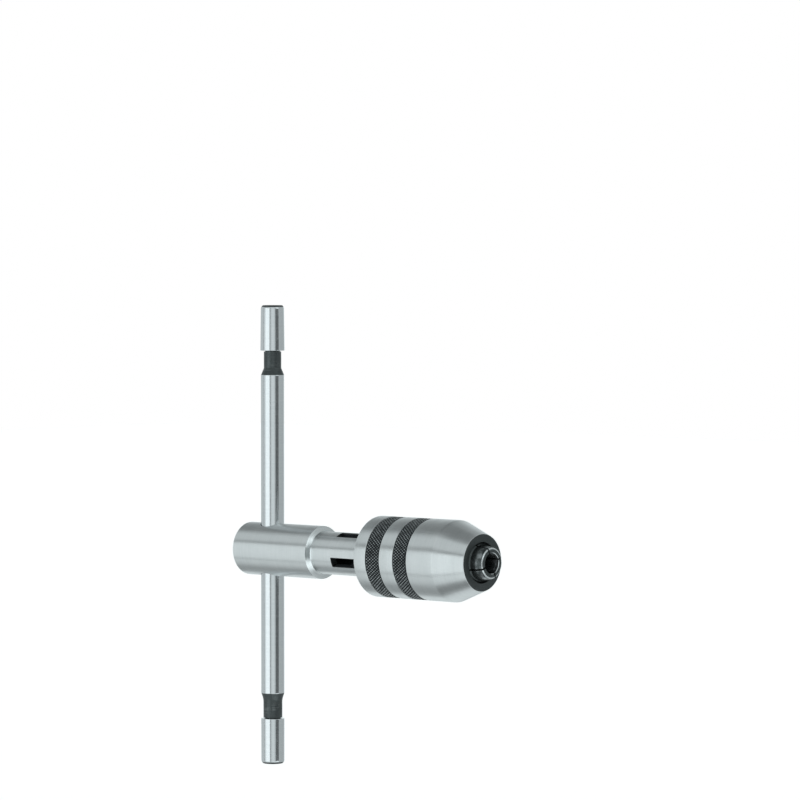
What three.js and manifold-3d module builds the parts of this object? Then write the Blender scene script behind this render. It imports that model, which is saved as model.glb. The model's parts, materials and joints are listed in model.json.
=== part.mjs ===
// T-handle tap wrench: a sliding bar through the barrel of a chuck whose four spring jaws are
// squeezed together by the cone of a screwed sleeve.
//
// Millimetres. The origin is the centre of the barrel's rear face. +X runs along the chuck to the
// jaw tips, and +Z runs along the sliding bar.

import * as THREE from 'three';
import { mergeVertices } from 'three/addons/utils/BufferGeometryUtils.js';
import Module from 'manifold-3d';

const wasm = await Module();
wasm.setup();

// ---- Driving dimensions ----

// Gap left between neighbours that touch in the real tool.
const SEAT_GAP = 0.3;
const RUN_GAP = 0.06;

// Body: the barrel carries the bar, the neck carries the jaws.
const BARREL_R = 8.0;
const BARREL_END_X = 30.35;
const SHOULDER_FOOT_X = 31.08;
const SHOULDER_FOOT_R = 6.52;
const NECK_R = 6.42;
const NECK_START_X = 31.6;
const NECK_BORE_R = 4.2;
const NECK_BORE_END_X = 33.0;
const SLOT_ROOT_X = 39.3;

// Sliding bar and its two end caps, as the bar stands at rest.
const BAR_X = 9.3;
const BAR_R = 3.55;
const BAR_TOP_Z = 74.35;
const BAR_BOTTOM_Z = -65.35;
const CAP_LENGTH = 13.8;
const CAP_UPPER_SKIRT_R = 3.7;
const CAP_LOWER_SKIRT_R = 3.56;
const CAP_CROWN_R = 3.54;
const CAP_CHAMFER = 0.6;
const GROOVE_UPPER_R = 2.65;
const GROOVE_UPPER_LENGTH = 5.3;
const GROOVE_LOWER_R = 2.88;
const GROOVE_LOWER_LENGTH = 5.85;
const FLARE_LENGTH = 2.2;
const SPIGOT_R = 2.3;
const SPIGOT_LENGTH = 11.0;

// Detent that holds the bar: ball, spring and plug screw in a bore ahead of the bar.
const BALL_R = 1.9;
const BALL_BORE_R = 2.05;
const PLUG_R = 2.35;
const PLUG_BORE_R = 2.5;
const PLUG_START_X = 21.6;
const PLUG_LENGTH = 6.0;
const SPRING_COIL_R = 1.35;
const SPRING_WIRE_R = 0.25;
const SPRING_TURNS = 4;

// Spring jaws. The wide slots of the neck close up to fine slits at the tips.
const JAW_COUNT = 4;
const SLOT_AZIMUTH = THREE.MathUtils.degToRad(21);
const SLOT_WIDTH = 3.1;
const SLIT_WIDTH = 0.55;
const SLOT_TAPER_X = 56.0;
const SLIT_START_X = 90.0;
const JAW_TIP_X = 97.7;
const JAW_TIP_R = 4.62;
const JAW_NOSE_R = 5.1;
const THREAD_START_X = 55.2;
const THREAD_END_X = 64.0;
const THREAD_R = 8.0;
const JAW_RELIEF_R = 5.9;
const SOCKET_HALF = 2.8;
const SOCKET_CORNER_R = 2.1;
const SOCKET_START_X = 83.0;

// Closing cone shared by the ring and the jaw heads.
const CONE_ANGLE = THREE.MathUtils.degToRad(15);
const CONE_CLEARANCE = 0.13;
const THROAT_R = 6.0;
const THROAT_X = 93.2;
const JAW_OPENING = THREE.MathUtils.degToRad(1.1);

// Sleeve and closing ring.
const SLEEVE_R = 12.05;
const SLEEVE_REAR_X = 54.0;
const SLEEVE_BORE_R = 8.15;
const CHAMBER_R = 8.4;
const CHAMBER_START_X = 66.0;
const CONE_START_X = 84.7;
const NOSE_X = 94.0;
const NOSE_LIP_R = 8.42;
const RING_R = 8.9;
const RING_REAR_X = 87.2;
const RING_SHOULDER_X = 91.0;
const RING_FACE_R = 8.15;
const RING_GAP = 0.1;
const KNURL_BANDS = [[58.6, 64.1], [69.4, 74.8]];
const KNURL_DEPTH = 0.15;

// Facets round each turned part.
const SLEEVE_FACETS = 64;
const BARREL_FACETS = 48;
const BAR_FACETS = 32;
const SMALL_FACETS = 20;

// ---- Materials ----

function steel(color, roughness) {
  return new THREE.MeshStandardMaterial({ color, roughness, metalness: 1 });
}

const groundSteel = () => steel(0xbfc6c8, 0.34);
const polishedSteel = () => steel(0xc9cfd3, 0.2);
const blackenedSteel = () => steel(0x33393b, 0.45);
const springSteel = () => steel(0x8f9699, 0.3);

// ---- Solid helpers ----

// A closed mesh on shared vertices, with the slivers at the poles of a revolve removed.
function closed(geometry) {
  const bare = geometry.clone();
  bare.deleteAttribute('normal');
  bare.deleteAttribute('uv');
  const merged = mergeVertices(bare, 1e-4);
  const source = merged.index.array;
  const kept = [];
  for (let i = 0; i < source.length; i += 3) {
    const [a, b, c] = [source[i], source[i + 1], source[i + 2]];
    if (a !== b && b !== c && a !== c) kept.push(a, b, c);
  }
  merged.setIndex(kept);
  return merged;
}

function toSolid(geometry) {
  const mesh = closed(geometry);
  return new wasm.Manifold(new wasm.Mesh({
    numProp: 3,
    vertProperties: new Float32Array(mesh.attributes.position.array),
    triVerts: new Uint32Array(mesh.index.array),
  }));
}

function toGeometry(solid) {
  const mesh = solid.getMesh();
  const geometry = new THREE.BufferGeometry();
  geometry.setAttribute('position', new THREE.BufferAttribute(mesh.vertProperties, 3));
  geometry.setIndex(new THREE.BufferAttribute(mesh.triVerts, 1));
  return geometry;
}

function shade(geometry) {
  const flat = geometry.index ? geometry.toNonIndexed() : geometry;
  flat.computeVertexNormals();
  return flat;
}

// Revolves a profile of [position along the axis, radius] about +X. The outside is drawn from the
// low end to the high end.
function turnedX(profile, facets) {
  const points = profile.map(([x, r]) => new THREE.Vector2(r, x));
  const geometry = new THREE.LatheGeometry(points, facets);
  geometry.rotateZ(-Math.PI / 2);
  return closed(geometry);
}

function turnedZ(profile, facets) {
  const points = profile.map(([z, r]) => new THREE.Vector2(r, z));
  const geometry = new THREE.LatheGeometry(points, facets);
  geometry.rotateX(Math.PI / 2);
  return closed(geometry);
}

// Radius that puts the flats, not the corners, of a faceted hole at the wanted size.
function holeRadius(radius, facets) {
  return radius / Math.cos(Math.PI / facets);
}

function ringProfile(outline) {
  return [...outline, outline[0]];
}

// ---- Body ----

// Hollow curve that runs on from the foot of the barrel's shoulder and flows into the neck.
function neckFillet(steps) {
  const run = NECK_START_X - SHOULDER_FOOT_X;
  const drop = SHOULDER_FOOT_R - NECK_R;
  const radius = (run * run + drop * drop) / (2 * drop);
  const sweep = Math.asin(run / radius);
  const points = [];
  for (let i = 0; i <= steps; i += 1) {
    const angle = sweep * (1 - i / steps);
    const x = NECK_START_X - radius * Math.sin(angle);
    points.push([x, NECK_R + radius * (1 - Math.cos(angle))]);
  }
  return points;
}

function makeBody() {
  const rearChamfer = 0.25;
  const plugBoreStart = PLUG_START_X - 0.4;
  const drillEnd = NECK_BORE_END_X - 1.4;
  const profile = [
    [0, 0],
    [0, BARREL_R - rearChamfer],
    [rearChamfer, BARREL_R],
    [BARREL_END_X, BARREL_R],
    ...neckFillet(2),
    [SLOT_ROOT_X, NECK_R],
    [SLOT_ROOT_X, NECK_BORE_R],
    [NECK_BORE_END_X, NECK_BORE_R],
    [drillEnd, PLUG_BORE_R],
    [plugBoreStart, PLUG_BORE_R],
    [plugBoreStart, BALL_BORE_R],
    [BAR_X, BALL_BORE_R],
    [BAR_X, 0],
  ];
  const turned = toSolid(turnedX(profile, BARREL_FACETS));
  const holeR = holeRadius(BAR_R + RUN_GAP, BAR_FACETS);
  const reach = BARREL_R + 1;
  const hole = turnedZ([[-reach, 0], [-reach, holeR], [reach, holeR], [reach, 0]], BAR_FACETS);
  hole.translate(BAR_X, 0, 0);
  return toGeometry(turned.subtract(toSolid(hole)));
}

// ---- Detent in the body ----

function makeBall() {
  const ball = new THREE.SphereGeometry(BALL_R, SMALL_FACETS, SMALL_FACETS / 2);
  ball.translate(BAR_X + BAR_R + RUN_GAP + BALL_R, 0, 0);
  return closed(ball);
}

class HelixX extends THREE.Curve {
  constructor(start, length, radius, turns) {
    super();
    Object.assign(this, { start, length, radius, turns });
  }

  getPoint(t, target = new THREE.Vector3()) {
    const angle = 2 * Math.PI * this.turns * t;
    const x = this.start + this.length * t;
    return target.set(x, this.radius * Math.cos(angle), this.radius * Math.sin(angle));
  }
}

function makeSpring() {
  const ballFront = BAR_X + BAR_R + RUN_GAP + 2 * BALL_R;
  const start = ballFront + SEAT_GAP + SPRING_WIRE_R;
  const length = PLUG_START_X - SEAT_GAP - SPRING_WIRE_R - start;
  const section = new THREE.Shape();
  section.absarc(0, 0, SPRING_WIRE_R, 0, 2 * Math.PI);
  return closed(new THREE.ExtrudeGeometry(section, {
    extrudePath: new HelixX(start, length, SPRING_COIL_R, SPRING_TURNS),
    steps: 12 * SPRING_TURNS,
    curveSegments: 3,
  }));
}

function makePlugScrew() {
  const end = PLUG_START_X + PLUG_LENGTH;
  const chamfer = 0.4;
  const profile = [
    [PLUG_START_X, 0],
    [PLUG_START_X, PLUG_R - chamfer],
    [PLUG_START_X + chamfer, PLUG_R],
    [end - chamfer, PLUG_R],
    [end, PLUG_R - chamfer],
    [end, 0],
  ];
  const socketDepth = 2.5;
  const socketR = 1.45;
  const socket = turnedX([
    [end - socketDepth, 0],
    [end - socketDepth, socketR],
    [end + 1, socketR],
    [end + 1, 0],
  ], 6);
  return toGeometry(toSolid(turnedX(profile, SMALL_FACETS)).subtract(toSolid(socket)));
}

// ---- Sliding bar ----

// Half a bar end, from the full diameter out to the spigot that the cap is pressed on, given as
// [distance from the bar's end, radius].
function barEnd(grooveR, grooveLength) {
  const grooveStart = CAP_LENGTH + grooveLength;
  const spigotRoot = CAP_LENGTH + SEAT_GAP;
  return [
    [grooveStart + FLARE_LENGTH, BAR_R],
    [grooveStart, grooveR],
    [spigotRoot, grooveR],
    [spigotRoot, SPIGOT_R],
    [CAP_LENGTH - SPIGOT_LENGTH, SPIGOT_R],
    [CAP_LENGTH - SPIGOT_LENGTH, 0],
  ];
}

function makeBar() {
  const upperEnd = barEnd(GROOVE_UPPER_R, GROOVE_UPPER_LENGTH);
  const lowerEnd = barEnd(GROOVE_LOWER_R, GROOVE_LOWER_LENGTH);
  const upper = upperEnd.map(([depth, r]) => [BAR_TOP_Z - depth, r]);
  const lower = lowerEnd.map(([depth, r]) => [BAR_BOTTOM_Z + depth, r]);
  const bar = turnedZ([...lower.reverse(), ...upper], BAR_FACETS);
  bar.translate(BAR_X, 0, 0);
  return bar;
}

// Cap as [distance in from its crown, radius], crown first, with the bore that takes the spigot.
function capProfile(skirtR) {
  const boreR = SPIGOT_R + SEAT_GAP;
  const boreEnd = CAP_LENGTH - SPIGOT_LENGTH - SEAT_GAP;
  return [
    [0, 0],
    [0, CAP_CROWN_R - CAP_CHAMFER],
    [CAP_CHAMFER, CAP_CROWN_R],
    [CAP_LENGTH, skirtR],
    [CAP_LENGTH, boreR],
    [boreEnd, boreR],
    [boreEnd, 0],
  ];
}

function makeUpperCap() {
  const profile = capProfile(CAP_UPPER_SKIRT_R).map(([depth, r]) => [BAR_TOP_Z - depth, r]);
  const cap = turnedZ(profile.reverse(), BAR_FACETS);
  cap.translate(BAR_X, 0, 0);
  return cap;
}

function makeLowerCap() {
  const profile = capProfile(CAP_LOWER_SKIRT_R).map(([depth, r]) => [BAR_BOTTOM_Z + depth, r]);
  const cap = turnedZ(profile, BAR_FACETS);
  cap.translate(BAR_X, 0, 0);
  return cap;
}

// ---- Jaws ----

// Radius of the closing cone at a place along the chuck.
function coneRadius(x) {
  return THROAT_R + (THROAT_X - x) * Math.tan(CONE_ANGLE);
}

// Thread crest of a jaw at rest: it lies on the full thread radius when the jaws are wide open.
function threadCrest(x) {
  return THREAD_R - (x - SLOT_ROOT_X) * JAW_OPENING;
}

// All four jaws as one turned piece, before the slots divide it.
function jawBlank() {
  const headStart = 88.5;
  const headRelief = 86.8;
  const noseStart = THROAT_X + 0.6;
  const tipRound = 0.4;
  const boreTaperX = SOCKET_START_X - 2;
  return turnedX(ringProfile([
    [SLOT_ROOT_X + SEAT_GAP, NECK_BORE_R],
    [SLOT_ROOT_X + SEAT_GAP, NECK_R],
    [THREAD_START_X - 0.8, NECK_R],
    [THREAD_START_X, threadCrest(THREAD_START_X)],
    [THREAD_END_X, threadCrest(THREAD_END_X)],
    [THREAD_END_X + 1, JAW_RELIEF_R],
    [headRelief, JAW_RELIEF_R],
    [headStart, coneRadius(headStart) - CONE_CLEARANCE],
    [THROAT_X, THROAT_R - CONE_CLEARANCE],
    [noseStart, JAW_NOSE_R],
    [JAW_TIP_X - tipRound, JAW_TIP_R],
    [JAW_TIP_X, JAW_TIP_R - tipRound],
    [JAW_TIP_X, SOCKET_HALF - 0.4],
    [SOCKET_START_X, SOCKET_HALF - 0.4],
    [boreTaperX, NECK_BORE_R],
  ]), BARREL_FACETS);
}

// Square socket for the tap's square, with round corners that lie at the slits.
function socketCutter() {
  const square = new THREE.Shape();
  const flat = SOCKET_HALF - SOCKET_CORNER_R;
  square.absarc(flat, flat, SOCKET_CORNER_R, 0, Math.PI / 2);
  square.absarc(-flat, flat, SOCKET_CORNER_R, Math.PI / 2, Math.PI);
  square.absarc(-flat, -flat, SOCKET_CORNER_R, Math.PI, 1.5 * Math.PI);
  square.absarc(flat, -flat, SOCKET_CORNER_R, 1.5 * Math.PI, 2 * Math.PI);
  const length = JAW_TIP_X + 1 - SOCKET_START_X;
  const cutter = new THREE.ExtrudeGeometry(square, {
    depth: length,
    bevelEnabled: false,
    curveSegments: 5,
  });
  // The extrusion runs along Z, so it is turned to run along X with its X and Y as Y and Z.
  cutter.applyMatrix4(new THREE.Matrix4().makeBasis(
    new THREE.Vector3(0, 1, 0),
    new THREE.Vector3(0, 0, 1),
    new THREE.Vector3(1, 0, 0),
  ));
  cutter.rotateX(SLOT_AZIMUTH + Math.PI / 4);
  cutter.translate(SOCKET_START_X, 0, 0);
  return cutter;
}

// Slot width along the chuck: parallel in the neck, then closing to a slit at the jaws.
function slotWidth(x) {
  const t = THREE.MathUtils.clamp((x - SLOT_TAPER_X) / (SLIT_START_X - SLOT_TAPER_X), 0, 1);
  return THREE.MathUtils.lerp(SLOT_WIDTH, SLIT_WIDTH, t);
}

// Quarter of the space round the axis, less half a slot on each side, for one jaw.
function jawQuarter(azimuth) {
  const stations = [SLOT_ROOT_X - 1, SLOT_TAPER_X, SLIT_START_X, JAW_TIP_X + 1];
  const side = SLEEVE_R;
  const quarter = new THREE.BoxGeometry(stations.length - 1, side, side, stations.length - 1);
  const position = quarter.attributes.position;
  for (let i = 0; i < position.count; i += 1) {
    const station = Math.round(position.getX(i) + (stations.length - 1) / 2);
    const x = stations[station];
    const offset = side / 2 + slotWidth(x) / 2;
    position.setXYZ(i, x, position.getY(i) + offset, position.getZ(i) + offset);
  }
  quarter.rotateX(azimuth);
  return quarter;
}

function makeJaws() {
  const blank = toSolid(jawBlank()).subtract(toSolid(socketCutter()));
  const jaws = [];
  for (let i = 0; i < JAW_COUNT; i += 1) {
    const slotAzimuth = SLOT_AZIMUTH + (i * 2 * Math.PI) / JAW_COUNT;
    jaws.push(toGeometry(blank.intersect(toSolid(jawQuarter(slotAzimuth)))));
  }
  return jaws;
}

// ---- Sleeve and closing ring ----

function knurlBand([start, end]) {
  const floor = SLEEVE_R - KNURL_DEPTH;
  return [
    [start, SLEEVE_R],
    [start + KNURL_DEPTH, floor],
    [end - KNURL_DEPTH, floor],
    [end, SLEEVE_R],
  ];
}

function makeSleeve() {
  const rearChamfer = 0.25;
  const mouthChamfer = 0.5;
  const seatRear = RING_REAR_X - RING_GAP;
  return turnedX(ringProfile([
    [SLEEVE_REAR_X, SLEEVE_BORE_R + mouthChamfer],
    [SLEEVE_REAR_X, SLEEVE_R - rearChamfer],
    [SLEEVE_REAR_X + rearChamfer, SLEEVE_R],
    ...KNURL_BANDS.flatMap(knurlBand),
    [CONE_START_X, SLEEVE_R],
    [NOSE_X, NOSE_LIP_R],
    [NOSE_X, RING_FACE_R + RING_GAP],
    [RING_SHOULDER_X, RING_R + RING_GAP],
    [seatRear, RING_R + RING_GAP],
    [seatRear, CHAMBER_R],
    [CHAMBER_START_X, CHAMBER_R],
    [CHAMBER_START_X - 0.5, SLEEVE_BORE_R],
    [SLEEVE_REAR_X + mouthChamfer, SLEEVE_BORE_R],
  ]), SLEEVE_FACETS);
}

function makeRing() {
  const mouthChamfer = 0.15;
  return turnedX(ringProfile([
    [RING_REAR_X, coneRadius(RING_REAR_X)],
    [RING_REAR_X, RING_R],
    [RING_SHOULDER_X, RING_R],
    [NOSE_X, RING_FACE_R],
    [NOSE_X, THROAT_R + mouthChamfer],
    [NOSE_X - mouthChamfer, THROAT_R],
    [THROAT_X, THROAT_R],
  ]), SLEEVE_FACETS);
}

// ---- Assembly ----

const wrench = new THREE.Group();

function add(name, geometry, material) {
  const mesh = new THREE.Mesh(shade(geometry), material);
  mesh.name = name;
  wrench.add(mesh);
}

add('body', makeBody(), groundSteel());
add('detent_ball', makeBall(), springSteel());
add('detent_spring', makeSpring(), springSteel());
add('plug_screw', makePlugScrew(), blackenedSteel());
makeJaws().forEach((jaw, i) => add(`jaw_${i + 1}`, jaw, blackenedSteel()));
add('chuck_sleeve', makeSleeve(), groundSteel());
add('closing_ring', makeRing(), blackenedSteel());
add('sliding_bar', makeBar(), polishedSteel());
add('bar_cap_upper', makeUpperCap(), polishedSteel());
add('bar_cap_lower', makeLowerCap(), polishedSteel());

export default wrench;
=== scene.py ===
"""Looks of the sliding-bar tap wrench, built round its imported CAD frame. Lengths are metres.

+X runs along the chuck to the jaw tips and +Z along the sliding bar. Every turned part is a
revolve of a short outline, so each outline lists (place along the axis, radius, corner rounding).
"""
import json
import math

import bmesh
import bpy
import numpy as np
from mathutils import Matrix, Vector


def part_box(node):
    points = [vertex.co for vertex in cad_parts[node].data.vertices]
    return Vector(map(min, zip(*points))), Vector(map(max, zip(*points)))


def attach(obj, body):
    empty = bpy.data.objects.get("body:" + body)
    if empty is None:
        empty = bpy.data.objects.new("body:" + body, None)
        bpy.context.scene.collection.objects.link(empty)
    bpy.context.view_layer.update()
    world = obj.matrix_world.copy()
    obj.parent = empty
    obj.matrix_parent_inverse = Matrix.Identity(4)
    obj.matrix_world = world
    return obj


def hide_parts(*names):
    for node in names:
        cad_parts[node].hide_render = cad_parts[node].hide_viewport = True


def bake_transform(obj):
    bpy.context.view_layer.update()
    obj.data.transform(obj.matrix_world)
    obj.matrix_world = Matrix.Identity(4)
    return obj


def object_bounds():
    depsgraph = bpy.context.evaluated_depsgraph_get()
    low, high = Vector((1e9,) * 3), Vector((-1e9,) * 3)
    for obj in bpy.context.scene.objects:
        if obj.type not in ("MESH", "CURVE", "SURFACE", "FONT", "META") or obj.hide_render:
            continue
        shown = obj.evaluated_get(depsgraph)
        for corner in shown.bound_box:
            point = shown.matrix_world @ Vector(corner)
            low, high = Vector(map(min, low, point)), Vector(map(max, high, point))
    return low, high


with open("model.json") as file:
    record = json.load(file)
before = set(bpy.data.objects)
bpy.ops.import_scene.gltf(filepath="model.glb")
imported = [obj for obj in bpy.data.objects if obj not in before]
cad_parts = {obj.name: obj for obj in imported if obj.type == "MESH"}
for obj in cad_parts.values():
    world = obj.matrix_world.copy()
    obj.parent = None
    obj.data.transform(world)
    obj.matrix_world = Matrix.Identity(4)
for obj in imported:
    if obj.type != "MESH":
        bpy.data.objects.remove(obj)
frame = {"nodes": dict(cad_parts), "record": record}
cad_low, cad_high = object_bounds()

MM = 0.001
TAU = 2 * math.pi

# ---- Places and sizes taken from the frame ----

BODY_LOW, BODY_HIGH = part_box("body")
SLEEVE_LOW, SLEEVE_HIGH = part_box("chuck_sleeve")
RING_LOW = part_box("closing_ring")[0]
JAW_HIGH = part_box("jaw_1")[1]
BAR_LOW, BAR_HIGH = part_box("sliding_bar")
UPPER_LOW, UPPER_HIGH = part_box("bar_cap_upper")
LOWER_LOW, LOWER_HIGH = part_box("bar_cap_lower")

BARREL_R = BODY_HIGH.z
SLOT_ROOT_X = BODY_HIGH.x
SLEEVE_R = SLEEVE_HIGH.z
NOSE_X = SLEEVE_HIGH.x
TIP_X = JAW_HIGH.x
BAR_X = (BAR_LOW.x + BAR_HIGH.x) / 2
BAR_R = (BAR_HIGH.y - BAR_LOW.y) / 2
UPPER_SKIRT_R = (UPPER_HIGH.y - UPPER_LOW.y) / 2
LOWER_SKIRT_R = (LOWER_HIGH.y - LOWER_LOW.y) / 2

# ---- Sizes of the finer shapes ----

BARREL_END_X = 30.35 * MM
SHOULDER_FOOT_X = 31.08 * MM
SHOULDER_FOOT_R = 6.52 * MM
NECK_START_X = 31.6 * MM
NECK_R = 6.42 * MM
NECK_BORE_R = 4.2 * MM
NECK_BORE_END_X = 33.0 * MM
PLUG_BORE_R = 2.5 * MM
PLUG_BORE_END_X = 21.2 * MM
BALL_BORE_R = 2.05 * MM
HOLE_R = BAR_R + 0.16 * MM

SLOT_AZIMUTH = math.radians(21)
SLOT_WIDTH = 3.1 * MM
SLIT_WIDTH = 0.55 * MM
SLOT_TAPER_X = 56.0 * MM
SLIT_START_X = 90.0 * MM
STRIP_END_X = 66.0 * MM
THREAD_START_X = 55.2 * MM
THREAD_END_X = 64.0 * MM
THREAD_CREST_R = 7.6 * MM
THREAD_PITCH = 1.5 * MM
THREAD_DEPTH = 0.7 * MM
RELIEF_R = 5.9 * MM
SOCKET_START_X = 83.0 * MM
SOCKET_HALF = 2.8 * MM
SOCKET_CORNER_R = 2.1 * MM
JAW_COUNT = 4
JAW_RIM_DEPTH = 0.24 * MM
HEAD_START_X = 88.5 * MM
HEAD_BORE_R = 2.4 * MM

THROAT_X = 93.2 * MM
THROAT_R = 6.0 * MM
CONE_SLOPE = math.tan(math.radians(15))
CONE_CLEARANCE = 0.13 * MM

SLEEVE_BORE_R = 8.15 * MM
CHAMBER_R = 8.4 * MM
CHAMBER_START_X = 66.0 * MM
CONE_START_X = 84.7 * MM
NOSE_LIP_R = 8.42 * MM
RING_SEAT_R = 9.0 * MM
RING_SEAT_X = RING_LOW.x - 0.1 * MM
RING_SHOULDER_X = 91.0 * MM
RING_EDGE_R = 8.36 * MM
RING_EDGE_FIT = 0.02 * MM
RING_SEAT_FIT = 0.1 * MM
KNURL_BANDS = ((58.6 * MM, 64.1 * MM), (69.4 * MM, 74.8 * MM))
KNURL_FLOOR_R = SLEEVE_R - 0.6 * MM
KNURL_PITCH_ROUND = 84
KNURL_PITCH_ALONG = 1.25 * MM
KNURL_DEPTH = 0.27 * MM
KNURL_MARGIN = 0.3 * MM
KNURL_GROOVE_SHARE = 0.28

CAP_LENGTH = UPPER_HIGH.z - UPPER_LOW.z
CAP_CROWN_R = 3.54 * MM
CAP_BORE_R = 2.6 * MM
CAP_BORE_END = 2.6 * MM
BAR_SPIGOT_R = 2.3 * MM
CAP_GAP = 0.3 * MM
GROOVE_UPPER_R = 2.65 * MM
GROOVE_UPPER_LENGTH = 5.3 * MM
GROOVE_LOWER_R = 2.88 * MM
GROOVE_LOWER_LENGTH = 5.85 * MM
FLARE_LENGTH = 2.2 * MM

# ---- Mesh helpers ----


def soften(corners, loop, steps=4):
    """Outline of (along, radius) with each corner rounded off by its own rounding length."""
    points = []
    count = len(corners)
    for i, (a, r, rounding) in enumerate(corners):
        here = np.array((a, r))
        if rounding <= 0 or (not loop and i in (0, count - 1)):
            points.append((a, r))
            continue
        before = np.array(corners[i - 1][:2]) - here
        after = np.array(corners[(i + 1) % count][:2]) - here
        start = here + before / np.linalg.norm(before) * rounding
        end = here + after / np.linalg.norm(after) * rounding
        for step in range(steps + 1):
            t = step / steps
            point = start * (1 - t) ** 2 + 2 * here * t * (1 - t) + end * t ** 2
            points.append(tuple(point))
    return points


def divide(outline, loop, longest):
    """Adds points so that no stretch of the outline is longer than that."""
    pairs = list(zip(outline, outline[1:] + outline[:1]))
    if not loop:
        pairs.pop()
    points = []
    for (a0, r0), (a1, r1) in pairs:
        parts = max(1, math.ceil(math.hypot(a1 - a0, r1 - r0) / longest))
        for part in range(parts):
            t = part / parts
            points.append((a0 + (a1 - a0) * t, r0 + (r1 - r0) * t))
    if not loop:
        points.append(outline[-1])
    return points


def new_object(name, vertices, faces):
    mesh = bpy.data.meshes.new(name)
    mesh.from_pydata([tuple(v) for v in vertices], [], faces)
    shape = bmesh.new()
    shape.from_mesh(mesh)
    bmesh.ops.recalc_face_normals(shape, faces=shape.faces)
    shape.to_mesh(mesh)
    shape.free()
    obj = bpy.data.objects.new(name, mesh)
    bpy.context.scene.collection.objects.link(obj)
    return obj


def revolve(name, outline, segments, axis="X", centre_x=0.0, shape=None):
    """Closed turned solid. An outline that ends at radius 0 closes on the axis, another one
    closes on itself. shape(along, angle, radius) may return another radius."""
    solid = outline[0][1] == 0 and outline[-1][1] == 0
    rings = outline[1:-1] if solid else outline
    vertices = []
    for a, r in rings:
        for s in range(segments):
            angle = TAU * s / segments
            radius = shape(a, angle, r) if shape else r
            vertices.append((a, radius * math.cos(angle), radius * math.sin(angle)))
    count = len(rings)
    faces = []
    for i in range(count - 1 if solid else count):
        j = (i + 1) % count
        for s in range(segments):
            t = (s + 1) % segments
            faces.append((i * segments + s, i * segments + t, j * segments + t, j * segments + s))
    if solid:
        for ring, pole in ((0, outline[0]), (count - 1, outline[-1])):
            vertices.append((pole[0], 0.0, 0.0))
            tip = len(vertices) - 1
            for s in range(segments):
                t = (s + 1) % segments
                faces.append((ring * segments + s, ring * segments + t, tip))
    if axis == "Z":
        vertices = [(centre_x + y, z, x) for x, y, z in vertices]
    return new_object(name, vertices, faces)


def carve(obj, cutter, operation):
    """Cuts or keeps the part of obj that lies in cutter, for good."""
    modifier = obj.modifiers.new("cut", "BOOLEAN")
    modifier.object = cutter
    modifier.operation = operation
    modifier.solver = "EXACT"
    bpy.context.view_layer.update()
    evaluated = obj.evaluated_get(bpy.context.evaluated_depsgraph_get())
    mesh = bpy.data.meshes.new_from_object(evaluated)
    obj.modifiers.clear()
    old = obj.data
    obj.data = mesh
    bpy.data.meshes.remove(old)


def remove(obj):
    mesh = obj.data
    bpy.data.objects.remove(obj)
    bpy.data.meshes.remove(mesh)


def smooth(obj, sharp_degrees=32, round_normals=False):
    """Smooth shading with crisp edges. Where a cut runs through a round wall, its normals are
    set straight out from the chuck axis."""
    mesh = obj.data
    mesh.shade_smooth()
    mesh.set_sharp_from_angle(angle=math.radians(sharp_degrees))
    if not round_normals:
        return
    normals = [Vector((0, 0, 0))] * len(mesh.loops)
    for polygon in mesh.polygons:
        if abs(polygon.normal.x) > 0.02:
            continue
        centre = polygon.center
        outward = Vector((0, centre.y, centre.z)).normalized()
        facing = polygon.normal.dot(outward)
        if abs(facing) < 0.97:
            continue
        for loop in polygon.loop_indices:
            place = mesh.vertices[mesh.loops[loop].vertex_index].co
            normals[loop] = Vector((0, place.y, place.z)).normalized() * math.copysign(1, facing)
    mesh.normals_split_custom_set(normals)


# ---- Material helpers ----

GROUND_DARK = (0.76, 0.79, 0.795)
GROUND_LIGHT = (0.85, 0.875, 0.88)
OXIDE_SKIN = (0.03, 0.034, 0.038)
FINE_RELIEF = 0.00002


def node(tree, kind, inputs=None, **settings):
    made = tree.nodes.new(kind)
    for key, value in settings.items():
        setattr(made, key, value)
    for key, value in (inputs or {}).items():
        socket = made.inputs[key]
        if isinstance(value, bpy.types.NodeSocket):
            tree.links.new(value, socket)
        else:
            socket.default_value = value
    return made


def maths(tree, operation, *values):
    made = node(tree, "ShaderNodeMath", operation=operation)
    for socket, value in zip(made.inputs, values):
        if isinstance(value, bpy.types.NodeSocket):
            tree.links.new(value, socket)
        else:
            socket.default_value = value
    return made.outputs[0]


def ramp(tree, fac, stops):
    """Colour ramp of (position, grey or colour) stops."""
    made = node(tree, "ShaderNodeValToRGB", {"Fac": fac})
    elements = made.color_ramp.elements
    while len(elements) < len(stops):
        elements.new(0.5)
    for element, (position, colour) in zip(elements, stops):
        element.position = position
        if not isinstance(colour, tuple):
            colour = (colour, colour, colour)
        element.color = (*colour, 1.0)
    return made.outputs["Color"]


def mix(tree, fac, first, second):
    made = node(tree, "ShaderNodeMix", data_type="RGBA")
    for key, value in ((0, fac), (6, first), (7, second)):
        socket = made.inputs[key]
        if isinstance(value, bpy.types.NodeSocket):
            tree.links.new(value, socket)
        elif key == 0:
            socket.default_value = value
        else:
            socket.default_value = (*value, 1.0)
    return made.outputs[2]


def noise(tree, vector, scale, detail=3.0, roughness=0.55):
    made = node(
        tree,
        "ShaderNodeTexNoise",
        {"Vector": vector, "Scale": scale, "Detail": detail, "Roughness": roughness},
    )
    return made.outputs["Fac"]


def new_material(name):
    material = bpy.data.materials.new(name)
    material.use_nodes = True
    tree = material.node_tree
    tree.nodes.clear()
    output = node(tree, "ShaderNodeOutputMaterial")
    shader = node(tree, "ShaderNodeBsdfPrincipled")
    tree.links.new(shader.outputs[0], output.inputs["Surface"])
    return material, tree, shader


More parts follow.
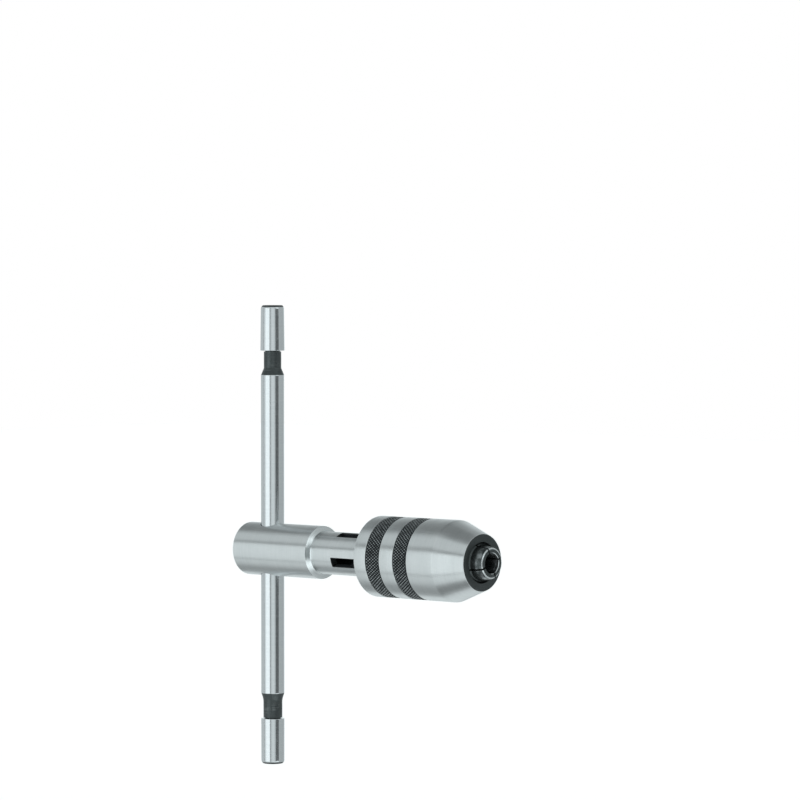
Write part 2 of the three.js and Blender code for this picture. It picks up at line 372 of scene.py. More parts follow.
def turning_space(tree, axis, centre_x):
    """Position, the distance from the turning axis, and a place along the tool's path that runs
    along round walls and across flat ends alike."""
    place = node(tree, "ShaderNodeTexCoord").outputs["Object"]
    split = node(tree, "ShaderNodeSeparateXYZ", {"Vector": place})
    x, y, z = split.outputs
    if axis == "X":
        along, across = x, z
    else:
        along, across = z, maths(tree, "SUBTRACT", x, centre_x)
    squares = maths(tree, "ADD", maths(tree, "MULTIPLY", y, y), maths(tree, "MULTIPLY", across, across))
    radius = maths(tree, "SQRT", squares)
    path = maths(tree, "ADD", along, radius)
    return place, y, across, along, radius, path


def tool_lines(tree, path, y, across, per_metre, wander):
    """Noise drawn out into fine rings round the turning axis."""
    stretched = node(
        tree,
        "ShaderNodeCombineXYZ",
        {
            "X": maths(tree, "MULTIPLY", path, per_metre),
            "Y": maths(tree, "MULTIPLY", y, wander),
            "Z": maths(tree, "MULTIPLY", across, wander),
        },
    ).outputs[0]
    return noise(tree, stretched, 1.0, 2.0)


def add_bump(tree, shader, height, strength, distance):
    bump = node(
        tree,
        "ShaderNodeBump",
        {"Height": height, "Strength": strength, "Distance": distance},
    )
    tree.links.new(bump.outputs[0], shader.inputs["Normal"])


def ring_tangent(tree, y, across, axis):
    """Direction round the turning axis, for the sheen that fine turning rings give."""
    if axis == "X":
        parts = {"Y": maths(tree, "MULTIPLY", across, -1.0), "Z": y}
    else:
        parts = {"X": maths(tree, "MULTIPLY", y, -1.0), "Y": across}
    local = node(tree, "ShaderNodeCombineXYZ", parts).outputs[0]
    turned = node(
        tree,
        "ShaderNodeVectorTransform",
        {"Vector": local},
        vector_type="VECTOR",
        convert_from="OBJECT",
        convert_to="WORLD",
    )
    return turned.outputs[0]


def ring_sheen(tree, shader, y, across, axis, amount):
    """Spreads the reflections along the axis and keeps them crisp round it."""
    shader.inputs["Anisotropic"].default_value = amount
    shader.inputs["Anisotropic Rotation"].default_value = 0.25
    tree.links.new(ring_tangent(tree, y, across, axis), shader.inputs["Tangent"])


def ground_steel(name, rough=0.33, lines=0.1, wear=None):
    """Turned and ground steel with fine rings. wear=(radius, softness) leaves the surface nearer
    to the axis than that radius black from the oxide bath."""
    material, tree, shader = new_material(name)
    place, y, across, _, radius, path = turning_space(tree, "X", 0.0)
    fine = tool_lines(tree, path, y, across, 7000, 90)
    coarse = tool_lines(tree, path, y, across, 1500, 45)
    cloud = noise(tree, place, 230, 4.0, 0.6)
    tone = maths(tree, "ADD", maths(tree, "MULTIPLY", fine, 0.55), maths(tree, "MULTIPLY", cloud, 0.45))
    colour = mix(tree, ramp(tree, tone, ((0.32, 0.0), (0.68, 1.0))), GROUND_DARK, GROUND_LIGHT)
    polish = ramp(tree, coarse, ((0.3, rough * 0.9), (0.7, rough * 1.12)))
    height = maths(tree, "ADD", fine, maths(tree, "MULTIPLY", coarse, 1.6))
    if wear:
        limit, soft = wear
        ground = node(
            tree,
            "ShaderNodeMapRange",
            {"Value": radius, "From Min": limit - soft, "From Max": limit + soft},
            clamp=True,
        ).outputs[0]
        colour = mix(tree, ground, OXIDE_SKIN, colour)
        polish = mix(tree, ground, (0.65, 0.65, 0.65), polish)
        tree.links.new(ground, shader.inputs["Metallic"])
    else:
        shader.inputs["Metallic"].default_value = 1.0
    tree.links.new(colour, shader.inputs["Base Color"])
    tree.links.new(polish, shader.inputs["Roughness"])
    ring_sheen(tree, shader, y, across, "X", 0.95)
    add_bump(tree, shader, height, lines, FINE_RELIEF)
    return material


def turned_steel(name):
    """Bright steel as the lathe leaves it, for the shoulder, and for the rims of the jaws, where it stands
    for burnished wear and also a painted highlight along the edges.
    """
    material, tree, shader = new_material(name)
    place, y, across, _, _, path = turning_space(tree, "X", 0.0)
    fine = tool_lines(tree, path, y, across, 6000, 120)
    cloud = noise(tree, place, 500, 4.0, 0.6)
    tone = ramp(tree, fine, ((0.35, 0.0), (0.68, 1.0)))
    colour = mix(tree, tone, (0.70, 0.735, 0.745), (0.82, 0.85, 0.855))
    tree.links.new(colour, shader.inputs["Base Color"])
    tree.links.new(ramp(tree, cloud, ((0.3, 0.16), (0.7, 0.26))), shader.inputs["Roughness"])
    shader.inputs["Metallic"].default_value = 1.0
    add_bump(tree, shader, fine, 0.1, FINE_RELIEF)
    return material


def polished_steel(name):
    """Centreless-ground bar steel: near mirror, with a slight wave along its length."""
    material, tree, shader = new_material(name)
    place, y, across, _, _, path = turning_space(tree, "Z", BAR_X)
    fine = tool_lines(tree, path, y, across, 5200, 150)
    wave = tool_lines(tree, path, y, across, 160, 160)
    scratches = noise(tree, place, 900, 5.0, 0.7)
    tone = ramp(tree, fine, ((0.35, 0.0), (0.7, 1.0)))
    colour = mix(tree, tone, (0.735, 0.765, 0.785), (0.78, 0.805, 0.82))
    polish = ramp(tree, scratches, ((0.35, 0.11), (0.68, 0.2)))
    tree.links.new(colour, shader.inputs["Base Color"])
    tree.links.new(polish, shader.inputs["Roughness"])
    shader.inputs["Metallic"].default_value = 1.0
    height = maths(tree, "ADD", maths(tree, "MULTIPLY", fine, 0.15), wave)
    add_bump(tree, shader, height, 0.05, 0.00004)
    return material


def black_oxide(name, axis="X", centre_x=0.0, rough=0.42, base=0.035, wear_and_highlight_strength=0.25, lines=0.3, tip=None):
    """Blackened steel: charcoal with a cool cast, rubbed brighter in patches and on fine ridges. Between the
    two places along the axis given as tip it is painted lighter and lighter, partly wear and partly a painted
    highlight band, but not beyond them."""
    material, tree, shader = new_material(name)
    place, y, across, along, _, path = turning_space(tree, axis, centre_x)
    fine = tool_lines(tree, path, y, across, 6500, 140)
    patches = noise(tree, place, 420, 5.0, 0.62)
    specks = noise(tree, place, 2600, 2.0, 0.5)
    wear_and_highlight = maths(
        tree,
        "MULTIPLY",
        ramp(tree, patches, ((0.5, 0.0), (0.72, 1.0))),
        ramp(tree, fine, ((0.45, 0.0), (0.75, 1.0))),
    )
    # Painted highlight: a lighter band on the flank near the jaw tip, partly wear and partly standing in for
    # the highlight there.
    if tip:
        reach = node(
            tree,
            "ShaderNodeMapRange",
            {"Value": along, "From Min": tip[0], "From Max": tip[1]},
            clamp=True,
        ).outputs[0]
        face = node(
            tree,
            "ShaderNodeMapRange",
            {"Value": along, "From Min": tip[1] + 0.5 * MM, "From Max": tip[1]},
            clamp=True,
        ).outputs[0]
        tip_highlight_and_wear = maths(tree, "MULTIPLY", reach, ramp(tree, patches, ((0.42, 0.0), (0.6, 1.0))))
        tip_highlight_and_wear = maths(tree, "MULTIPLY", tip_highlight_and_wear, face)
        wear_and_highlight = maths(tree, "MAXIMUM", wear_and_highlight, tip_highlight_and_wear)
    black = mix(tree, specks, (base * 0.7, base * 0.85, base * 0.88), (base * 1.25, base * 1.4, base * 1.4))
    steel = (0.42, 0.45, 0.46)
    colour = mix(tree, maths(tree, "MULTIPLY", wear_and_highlight, wear_and_highlight_strength), black, steel)
    polish = ramp(tree, patches, ((0.3, rough * 1.2), (0.7, rough * 0.8)))
    tree.links.new(colour, shader.inputs["Base Color"])
    tree.links.new(polish, shader.inputs["Roughness"])
    shader.inputs["Metallic"].default_value = 0.75
    shader.inputs["Specular IOR Level"].default_value = 0.5
    height = maths(tree, "ADD", fine, maths(tree, "MULTIPLY", specks, 0.5))
    add_bump(tree, shader, height, lines, FINE_RELIEF)
    return material


def knurled_black(name):
    """Black knurl whose flattened tips are painted lighter: partly wear from the fingers, partly a painted
    highlight on the crests.
    """
    material, tree, shader = new_material(name)
    place, _, _, _, radius, _ = turning_space(tree, "X", 0.0)
    grime = noise(tree, place, 700, 4.0, 0.6)
    # Painted highlight: crests near the full radius are coloured lighter, partly finger wear and partly
    # standing in for their highlights.
    reach = node(
        tree,
        "ShaderNodeMapRange",
        {"Value": radius, "From Min": SLEEVE_R - 0.11 * MM, "From Max": SLEEVE_R - 0.05 * MM},
        clamp=True,
    ).outputs[0]
    crest_wear_and_highlight = maths(tree, "MULTIPLY", reach, ramp(tree, grime, ((0.32, 0.25), (0.62, 1.0))))
    colour = mix(tree, crest_wear_and_highlight, (0.02, 0.025, 0.027), (0.52, 0.55, 0.56))
    polish = ramp(tree, grime, ((0.3, 0.5), (0.7, 0.34)))
    tree.links.new(colour, shader.inputs["Base Color"])
    tree.links.new(polish, shader.inputs["Roughness"])
    shader.inputs["Metallic"].default_value = 0.85
    add_bump(tree, shader, grime, 0.2, 0.00003)
    return material


# ---- Camera and light ----

CAMERA_AZIMUTH = math.radians(44.08)
CAMERA_ELEVATION = math.radians(3.95)
CAMERA_DISTANCE = 1.22
CAMERA_HEADING = math.radians(-42.255)
CAMERA_PITCH = math.radians(-1.815)
LENS_MM = 180.0


def make_camera():
    data = bpy.data.cameras.new("camera")
    data.lens = LENS_MM
    data.sensor_width = 36.0
    data.clip_start = 0.01
    data.clip_end = 50.0
    camera = bpy.data.objects.new("camera", data)
    bpy.context.scene.collection.objects.link(camera)
    back = Vector((
        math.sin(CAMERA_AZIMUTH) * math.cos(CAMERA_ELEVATION),
        -math.cos(CAMERA_AZIMUTH) * math.cos(CAMERA_ELEVATION),
        math.sin(CAMERA_ELEVATION),
    ))
    camera.location = Vector((BAR_X, 0, 0)) + back * CAMERA_DISTANCE
    forward = Vector((
        math.sin(CAMERA_HEADING) * math.cos(CAMERA_PITCH),
        math.cos(CAMERA_HEADING) * math.cos(CAMERA_PITCH),
        math.sin(CAMERA_PITCH),
    ))
    camera.rotation_euler = forward.to_track_quat("-Z", "Y").to_euler()
    bpy.context.scene.camera = camera


# Studio cards round the object: azimuth and elevation of the middle, half sizes and edge softness
# in degrees, and brightness. Azimuth is counted as for the camera.
STUDIO_BASE = 0.6
STUDIO_CARDS = (
    ("far_left", -152, 4, 20, 14, 8, 1.0),
    ("back_upper", -122, 54, 48, 15, 6, 0.16),
    ("zenith", 0, 90, 180, 26, 5, 0.18),
    ("back_lower", -140, -47, 32, 20, 8, 0.85),
    ("left_lower", -96, -44, 24, 13, 8, 0.42),
    ("right_far", 148, 0, 40, 45, 10, 0.48),
    ("front_lower", 52, -40, 26, 12, 8, 1.05),
    ("underneath", -20, -84, 100, 24, 6, 0.2),
    ("right_bright", 93, -4, 13, 31, 4, 1.4),
    ("right_flag", 89, -3, 18, 12.5, 4, 0.13),
    ("lens_side", 46, 0, 14, 24, 7, 0.76),
    ("softbox_fall", -20, -36, 34, 12, 9, 0.74),
    ("softbox_edge", -15, -2, 37, 32, 2, 0.2),
    ("softbox_left", -37, -5, 10, 27, 2, 0.8),
    ("softbox", -7, -5, 22, 27, 2, 1.18),
)
STUDIO_TINT = (0.93, 1.0, 1.01)


def card_mask(tree, direction, azimuth, elevation, half_width, half_height, soft):
    turned = node(
        tree,
        "ShaderNodeVectorRotate",
        {"Vector": direction, "Angle": -math.radians(azimuth)},
        rotation_type="Z_AXIS",
    ).outputs[0]
    x, y, z = node(tree, "ShaderNodeSeparateXYZ", {"Vector": turned}).outputs
    sideways = maths(tree, "ABSOLUTE", maths(tree, "ARCTAN2", x, maths(tree, "MULTIPLY", y, -1.0)))
    height = maths(tree, "ARCSINE", z)
    upright = maths(tree, "ABSOLUTE", maths(tree, "SUBTRACT", height, math.radians(elevation)))
    masks = []
    for away, half in ((sideways, half_width), (upright, half_height)):
        masks.append(node(
            tree,
            "ShaderNodeMapRange",
            {
                "Value": away,
                "From Min": math.radians(half + soft),
                "From Max": math.radians(half - soft),
            },
            interpolation_type="SMOOTHSTEP",
            clamp=True,
        ).outputs[0])
    return maths(tree, "MULTIPLY", *masks)


def make_world():
    world = bpy.data.worlds.new("studio")
    bpy.context.scene.world = world
    world.use_nodes = True
    tree = world.node_tree
    tree.nodes.clear()
    direction = node(tree, "ShaderNodeTexCoord").outputs["Generated"]
    level = node(tree, "ShaderNodeValue")
    level.outputs[0].default_value = STUDIO_BASE
    brightness = level.outputs[0]
    for name, azimuth, elevation, half_width, half_height, soft, value in STUDIO_CARDS:
        mask = card_mask(tree, direction, azimuth, elevation, half_width, half_height, soft)
        blended = node(
            tree,
            "ShaderNodeMix",
            {0: mask, 2: brightness, 3: value},
            data_type="FLOAT",
            label=name,
        )
        brightness = blended.outputs[0]
    studio = node(tree, "ShaderNodeBackground", {"Color": (*STUDIO_TINT, 1), "Strength": brightness})
    plain = node(tree, "ShaderNodeBackground", {"Color": (1, 1, 1, 1), "Strength": 1.0})
    camera_ray = node(tree, "ShaderNodeLightPath").outputs["Is Camera Ray"]
    either = node(tree, "ShaderNodeMixShader", {0: camera_ray, 1: studio.outputs[0], 2: plain.outputs[0]})
    output = node(tree, "ShaderNodeOutputWorld")
    tree.links.new(either.outputs[0], output.inputs["Surface"])


def make_floor():
    """Pale floor, low enough to clear the bar when it is pushed right down."""
    size = 3.0
    joints = frame["record"]["behaviour"]["joints"]
    lowest_slide = min(joint["range_m"][0] for joint in joints if joint["name"] == "bar_slide")
    bottom = cad_low.z + lowest_slide - 1 * MM
    corners = [(-size, -size, bottom), (size, -size, bottom), (size, size, bottom), (-size, size, bottom)]
    floor = new_object("floor", corners, [(0, 1, 2, 3)])
    material, _, shader = new_material("floor_white")
    shader.inputs["Base Color"].default_value = (0.9, 0.9, 0.9, 1)
    shader.inputs["Roughness"].default_value = 0.9
    shader.inputs["Emission Color"].default_value = (1, 1, 1, 1)
    shader.inputs["Emission Strength"].default_value = 0.6
    floor.data.materials.append(material)
    floor.visible_glossy = False


# ---- Body ----


def neck_fillet():
    """Hollow curve from the foot of the barrel's shoulder into the neck, tangent to the neck."""
    steps = 14
    run = NECK_START_X - SHOULDER_FOOT_X
    drop = SHOULDER_FOOT_R - NECK_R
    radius = (run * run + drop * drop) / (2 * drop)
    sweep = math.asin(run / radius)
    points = []
    for step in range(steps + 1):
        angle = sweep * (1 - step / steps)
        points.append((NECK_START_X - radius * math.sin(angle), NECK_R + radius * (1 - math.cos(angle)), 0))
    return points


def make_body():
    corners = [
        (BODY_LOW.x, 0, 0),
        (BODY_LOW.x, BARREL_R, 0.25 * MM),
        (BARREL_END_X, BARREL_R, 0.12 * MM),
        *neck_fillet(),
        (SLOT_ROOT_X, NECK_R, 0),
        (SLOT_ROOT_X, NECK_BORE_R, 0),
        (NECK_BORE_END_X, NECK_BORE_R, 0),
        (NECK_BORE_END_X - 1.4 * MM, PLUG_BORE_R, 0),
        (PLUG_BORE_END_X, PLUG_BORE_R, 0),
        (PLUG_BORE_END_X, BALL_BORE_R, 0),
        (BAR_X, BALL_BORE_R, 0),
        (BAR_X, 0, 0),
    ]
    outline = divide(soften(corners, loop=False), False, 0.8 * MM)
    body = revolve("body_turned", outline, 192)
    lead = 0.15 * MM
    reach = BARREL_R + 1 * MM
    hole = [
        (-reach, 0),
        (-reach, HOLE_R + lead + reach - BARREL_R),
        (-BARREL_R + lead, HOLE_R),
        (BARREL_R - lead, HOLE_R),
        (reach, HOLE_R + lead + reach - BARREL_R),
        (reach, 0),
    ]
    cutter = revolve("hole_cutter", hole, 128, axis="Z", centre_x=BAR_X)
    carve(body, cutter, "DIFFERENCE")
    remove(cutter)
    smooth(body, 32, round_normals=True)
    body.data.materials.append(ground_steel("barrel_steel"))
    body.data.materials.append(turned_steel("shoulder_steel"))
    body.data.materials.append(black_oxide("hole_black", rough=0.6, base=0.03, wear_and_highlight_strength=0.0))
    for polygon in body.data.polygons:
        place = polygon.center
        from_axis = math.hypot(place.y, place.z)
        from_bar = math.hypot(place.x - BAR_X, place.y)
        in_hole = from_bar < HOLE_R + 0.02 * MM and abs(polygon.normal.z) < 0.3
        in_bore = place.x > MM and from_axis < NECK_R - 0.05 * MM
        if in_hole or in_bore:
            polygon.material_index = 2
        elif BARREL_END_X < place.x < NECK_START_X:
            polygon.material_index = 1
    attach(body, "body")
    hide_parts("body")


# ---- Jaws ----


def slot_width(x):
    t = min(1.0, max(0.0, (x - SLOT_TAPER_X) / (SLIT_START_X - SLOT_TAPER_X)))
    return SLOT_WIDTH + (SLIT_WIDTH - SLOT_WIDTH) * t


def quarter_cutter(index):
    """The quarter of the space round the axis that belongs to one jaw."""
    stations = [SLOT_ROOT_X - 1 * MM, SLOT_TAPER_X, SLIT_START_X, TIP_X + 1 * MM]
    turn = Matrix.Rotation(SLOT_AZIMUTH + TAU * index / JAW_COUNT, 4, "X")
    side = SLEEVE_R
    vertices = []
    for x in stations:
        near = slot_width(x) / 2
        for y, z in ((near, near), (side, near), (side, side), (near, side)):
            vertices.append(turn @ Vector((x, y, z)))
    faces = [(0, 3, 2, 1)]
    for i in range(len(stations) - 1):
        for k in range(4):
            n = (k + 1) % 4
            faces.append((4 * i + k, 4 * i + n, 4 * i + 4 + n, 4 * i + 4 + k))
    last = 4 * (len(stations) - 1)
    faces.append((last, last + 1, last + 2, last + 3))
    return new_object("quarter_cutter", vertices, faces)


def socket_section(half):
    """Square with round corners, in the plane across the chuck."""
    flat = half - SOCKET_CORNER_R
    steps = 10
    points = []
    for corner in range(4):
        middle = TAU * (corner + 0.5) / 4
        centre = Vector((math.copysign(flat, math.cos(middle)), math.copysign(flat, math.sin(middle))))
        for step in range(steps + 1):
            angle = TAU * corner / 4 + TAU / 4 * step / steps
            points.append(centre + SOCKET_CORNER_R * Vector((math.cos(angle), math.sin(angle))))
    return points


def socket_cutter():
    stations = ((SOCKET_START_X, SOCKET_HALF), (TIP_X + 1 * MM, SOCKET_HALF))
    turn = Matrix.Rotation(SLOT_AZIMUTH + TAU / 8, 4, "X")
    vertices = []
    for x, half in stations:
        vertices += [turn @ Vector((x, p.x, p.y)) for p in socket_section(half)]
    count = len(vertices) // len(stations)
    faces = [tuple(range(count))]
    for i in range(len(stations) - 1):
        for k in range(count):
            n = (k + 1) % count
            faces.append((count * i + k, count * i + n, count * (i + 1) + n, count * (i + 1) + k))
    faces.append(tuple(range(count * (len(stations) - 1), count * len(stations))))
    return new_object("socket_cutter", vertices, faces)


def thread_radius(x, angle, r):
    """Cuts a right-hand screw thread into the jaw blank's outer wall. The sleeve's bore stays plain."""
    if r < RELIEF_R or not THREAD_START_X <= x <= THREAD_END_X:
        return r
    phase = (x / THREAD_PITCH - angle / TAU) % 1.0
    flank = min(1.0, 2.6 * abs(phase - 0.5))
    fade = min(1.0, (x - THREAD_START_X) / (0.5 * MM), (THREAD_END_X - x) / (0.5 * MM))
    return r - THREAD_DEPTH * (1 - flank) * max(0.0, fade)


def strip_blank():
    thread_steps = 60
    thread = []
    for step in range(thread_steps + 1):
        x = THREAD_START_X + (THREAD_END_X - THREAD_START_X) * step / thread_steps
        thread.append((x, THREAD_CREST_R, 0))
    corners = [
        (SLOT_ROOT_X, NECK_BORE_R, 0),
        (SLOT_ROOT_X, NECK_R, 0),
        (THREAD_START_X - 0.8 * MM, NECK_R, 0),
        *thread,
        (THREAD_END_X + 1 * MM, RELIEF_R, 0),
        (STRIP_END_X, RELIEF_R, 0),
        (STRIP_END_X, NECK_BORE_R, 0),
    ]
    outline = divide(soften(corners, loop=True), True, 0.8 * MM)
    return revolve("strip_blank", outline, 144, shape=thread_radius)


def cone_radius(x):
    return THROAT_R + (THROAT_X - x) * CONE_SLOPE


def head_blank():
    nose_start = THROAT_X + 0.6 * MM
    corners = [
        (STRIP_END_X, NECK_BORE_R, 0),
        (STRIP_END_X, RELIEF_R, 0),
        (HEAD_START_X - 1.7 * MM, RELIEF_R, 0.3 * MM),
        (HEAD_START_X, cone_radius(HEAD_START_X) - CONE_CLEARANCE, 0.25 * MM),
        (THROAT_X, THROAT_R - CONE_CLEARANCE, 0.1 * MM),
        (nose_start, 5.12 * MM, 0.2 * MM),
        (nose_start + 1.9 * MM, 5.06 * MM, 0.6 * MM),
        (TIP_X, 4.5 * MM, 0.55 * MM),
        (TIP_X, HEAD_BORE_R, 0),
        (SOCKET_START_X, HEAD_BORE_R, 0),
        (SOCKET_START_X - 2 * MM, NECK_BORE_R, 0),
    ]
    outline = divide(soften(corners, loop=True, steps=6), True, 1.5 * MM)
    return revolve("head_blank", outline, 144)


def brighten_rims(head):
    """Gives the narrow bevels round the tip of a jaw the second, bright material: burnished wear there, and
    also a painted highlight along the edges.
    """
    for polygon in head.data.polygons:
        if polygon.center.x > TIP_X - JAW_RIM_DEPTH and 0.25 < polygon.normal.x < 0.97:
            polygon.material_index = 1


def make_jaws():
    strip_steel = ground_steel("neck_steel", wear=(NECK_R - 0.22 * MM, 0.1 * MM))
    # Span near the jaw tips where a lighter band is painted, partly wear and partly a painted highlight.
    tip_highlight_span = (TIP_X - 3.2 * MM, TIP_X - 0.7 * MM)
    head_black = black_oxide("jaw_black", rough=0.26, base=0.07, wear_and_highlight_strength=0.75, tip=tip_highlight_span)
    rim_wear_and_highlight = turned_steel("jaw_rims")
    strips = strip_blank()
    heads = head_blank()
    socket = socket_cutter()
    carve(heads, socket, "DIFFERENCE")
    remove(socket)
    lead = 0.15 * MM
    round_r = SOCKET_HALF + 0.2 * MM
    mouth = [
        (TIP_X - 1.6 * MM, 0),
        (TIP_X - 1.2 * MM, round_r),
        (TIP_X - lead, round_r),
        (TIP_X + lead, round_r + 2 * lead),
        (TIP_X + lead, 0),
    ]
    countersink = revolve("mouth_cutter", mouth, 96)
    carve(heads, countersink, "DIFFERENCE")
    remove(countersink)
    for index in range(JAW_COUNT):
        jaw = f"jaw_{index + 1}"
        quarter = quarter_cutter(index)
        for blank, name, steel, slot in (
            (strips, f"neck_strip_{index + 1}", strip_steel, "ground_steel"),
            (heads, f"jaw_head_{index + 1}", head_black, "blackened_steel"),
        ):
            piece = bpy.data.objects.new(name, blank.data.copy())
            bpy.context.scene.collection.objects.link(piece)
            carve(piece, quarter, "INTERSECT")
            smooth(piece, 32, round_normals=True)
            piece.data.materials.append(steel)
            # Jaw heads get a bright second material on their tip bevels: partly burnished wear, partly a
            # painted highlight along the edges.
            if steel is head_black:
                piece.data.materials.append(rim_wear_and_highlight)
                brighten_rims(piece)
            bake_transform(piece)
            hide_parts(jaw)
        remove(quarter)
    remove(strips)
    remove(heads)


# ---- Sleeve, knurl and ring ----


def channel(start, end):
    """Recess between two lands, with a small rounded lip on each land."""
    lip = 0.12 * MM
    return [
        (start, SLEEVE_R, lip),
        (start, KNURL_FLOOR_R, 0),
        (end, KNURL_FLOOR_R, 0),
        (end, SLEEVE_R, lip),
    ]


def make_sleeve():
    corners = [
        (SLEEVE_LOW.x, SLEEVE_BORE_R + 0.5 * MM, 0.1 * MM),
        (SLEEVE_LOW.x, SLEEVE_R, 0.25 * MM),
        *[corner for band in KNURL_BANDS for corner in channel(*band)],
        (CONE_START_X, SLEEVE_R, 0.25 * MM),
        (NOSE_X, NOSE_LIP_R, 0.08 * MM),
        (NOSE_X, RING_EDGE_R, 0),
        (NOSE_X - 0.35 * MM, RING_EDGE_R, 0),
        (RING_SHOULDER_X, RING_SEAT_R, 0),
        (RING_SEAT_X, RING_SEAT_R, 0),
        (RING_SEAT_X, CHAMBER_R, 0),
        (CHAMBER_START_X, CHAMBER_R, 0),
        (CHAMBER_START_X - 0.5 * MM, SLEEVE_BORE_R, 0),
        (SLEEVE_LOW.x + 0.5 * MM, SLEEVE_BORE_R, 0.1 * MM),
    ]
    outline = divide(soften(corners, loop=True), True, 3 * MM)
    sleeve = revolve("sleeve_turned", outline, 256)
    smooth(sleeve)
    steel = ground_steel("sleeve_steel", wear=(RING_EDGE_R - 0.06 * MM, 0.03 * MM))
    sleeve.data.materials.append(steel)
    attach(sleeve, "sleeve")
    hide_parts("chuck_sleeve")


def knurl_height(x, angle, start, end):
    """Depth left by two crossing sets of V grooves: 0 on the flat tips, 1 in the grooves."""
    inside = min(x - start, end - x) - KNURL_MARGIN
    if inside < 0:
        return 1.0
    around = angle / TAU * KNURL_PITCH_ROUND
    along = (x - start) / KNURL_PITCH_ALONG
    deepest = 0.0
    for phase in (around + along, around - along):
        from_groove = abs((phase + 0.5) % 1.0 - 0.5)
        deepest = max(deepest, 1 - from_groove / KNURL_GROOVE_SHARE)
    return min(1.0, deepest + max(0.0, 1 - inside / (0.12 * MM)))


def make_knurls():
    black = knurled_black("knurl_black")
    tip_r = SLEEVE_R - 0.03 * MM
    across = 40
    for number, (start, end) in enumerate(KNURL_BANDS, 1):
        gap = 0.02 * MM
        outer = [(start + gap + (end - start - 2 * gap) * i / across, tip_r) for i in range(across + 1)]
        outline = [(start + gap, KNURL_FLOOR_R + gap), *outer, (end - gap, KNURL_FLOOR_R + gap)]

        def grooved(x, angle, r, start=start, end=end):
            if r < tip_r:
                return r
            return r - KNURL_DEPTH * knurl_height(x, angle, start, end)

        band = revolve(f"knurl_band_{number}", outline, KNURL_PITCH_ROUND * 8, shape=grooved)
        smooth(band, 25)
        band.data.materials.append(black)
        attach(band, "sleeve")
        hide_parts("chuck_sleeve")


def make_ring():
    corners = [
        (RING_LOW.x, cone_radius(RING_LOW.x), 0.1 * MM),
        (RING_LOW.x, RING_SEAT_R - RING_SEAT_FIT, 0.2 * MM),
        (RING_SHOULDER_X, RING_SEAT_R - RING_SEAT_FIT, 0),
        (NOSE_X - 0.4 * MM, RING_EDGE_R - RING_EDGE_FIT, 0),
        (NOSE_X, RING_EDGE_R - RING_EDGE_FIT, 0.05 * MM),
        (NOSE_X, THROAT_R, 0.16 * MM),
        (THROAT_X, THROAT_R, 0),
    ]
    ring = revolve("ring_turned", soften(corners, loop=True), 192)
    smooth(ring)
    ring.data.materials.append(black_oxide("ring_black", rough=0.5, base=0.065, wear_and_highlight_strength=0.2))
    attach(ring, "ring")
    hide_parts("closing_ring")


# ---- Sliding bar and caps ----


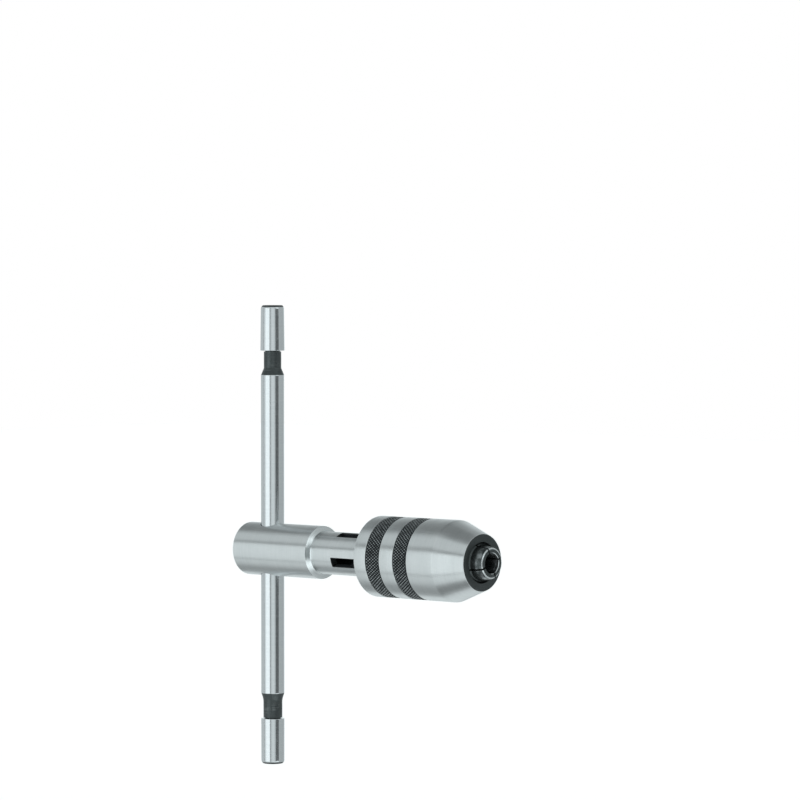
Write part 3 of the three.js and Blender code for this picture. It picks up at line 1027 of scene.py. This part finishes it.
def make_bar():
    groove_low = LOWER_HIGH.z
    groove_high = UPPER_LOW.z
    corners = [
        (BAR_LOW.z, 0, 0),
        (BAR_LOW.z, BAR_SPIGOT_R, 0.2 * MM),
        (groove_low + CAP_GAP, BAR_SPIGOT_R, 0),
        (groove_low + CAP_GAP, GROOVE_LOWER_R, 0),
        (groove_low + GROOVE_LOWER_LENGTH, GROOVE_LOWER_R, 0.9 * MM),
        (groove_low + GROOVE_LOWER_LENGTH + FLARE_LENGTH * 0.9, BAR_R, 0.1 * MM),
        (groove_high - GROOVE_UPPER_LENGTH - FLARE_LENGTH, BAR_R, 0.1 * MM),
        (groove_high - GROOVE_UPPER_LENGTH, GROOVE_UPPER_R, 0.15 * MM),
        (groove_high - CAP_GAP, GROOVE_UPPER_R, 0),
        (groove_high - CAP_GAP, BAR_SPIGOT_R, 0),
        (BAR_HIGH.z, BAR_SPIGOT_R, 0.2 * MM),
        (BAR_HIGH.z, 0, 0),
    ]
    outline = divide(soften(corners, loop=False), False, 3 * MM)
    bar = revolve("bar_turned", outline, 128, axis="Z", centre_x=BAR_X)
    smooth(bar, 20)
    polished = polished_steel("bar_polished")
    black = black_oxide("groove_black", axis="Z", centre_x=BAR_X, rough=0.33, base=0.075, wear_and_highlight_strength=0.5, lines=1.0)
    bar.data.materials.append(polished)
    bar.data.materials.append(black)
    for polygon in bar.data.polygons:
        place = polygon.center
        outside = math.hypot(place.x - BAR_X, place.y)
        polygon.material_index = int(outside < BAR_R - 0.04 * MM)
    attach(bar, "handle")
    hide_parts("sliding_bar")
    return polished, black


def make_cap(name, node_name, crown_z, inward, skirt_r, polished, black):
    """Pressed cap with a bevelled crown. inward is -1 for the upper cap and +1 for the lower."""
    skirt_z = crown_z + inward * CAP_LENGTH
    corners = [
        (crown_z, 0, 0),
        (crown_z, CAP_CROWN_R - 0.55 * MM, 0.25 * MM),
        (crown_z + inward * 0.7 * MM, CAP_CROWN_R, 0.35 * MM),
        (skirt_z, skirt_r, 0.12 * MM),
        (skirt_z, CAP_BORE_R, 0.05 * MM),
        (crown_z + inward * CAP_BORE_END, CAP_BORE_R, 0),
        (crown_z + inward * CAP_BORE_END, 0, 0),
    ]
    outline = divide(soften(corners, loop=False), False, 3 * MM)
    cap = revolve(name, outline, 128, axis="Z", centre_x=BAR_X)
    smooth(cap, 30)
    cap.data.materials.append(polished)
    cap.data.materials.append(black)
    for polygon in cap.data.polygons:
        if abs(polygon.center.z - crown_z) < 0.5 * MM:
            polygon.material_index = 1
    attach(cap, "handle")
    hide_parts(node_name)


# ---- Detent inside the body ----


def dress_detent():
    bright = ground_steel("detent_bright", rough=0.22, lines=0.15)
    black = black_oxide("plug_black")
    for name, material in (("detent_ball", bright), ("detent_spring", bright), ("plug_screw", black)):
        mesh = frame["nodes"][name].data
        mesh.materials.clear()
        mesh.materials.append(material)


bpy.context.scene.view_settings.view_transform = "Standard"
make_camera()
make_world()
make_floor()
make_body()
make_jaws()
make_sleeve()
make_knurls()
make_ring()
bar_polished, groove_black = make_bar()
make_cap("cap_upper_turned", "bar_cap_upper", UPPER_HIGH.z, -1, UPPER_SKIRT_R, bar_polished, groove_black)
make_cap("cap_lower_turned", "bar_cap_lower", LOWER_LOW.z, 1, LOWER_SKIRT_R, bar_polished, groove_black)
dress_detent()
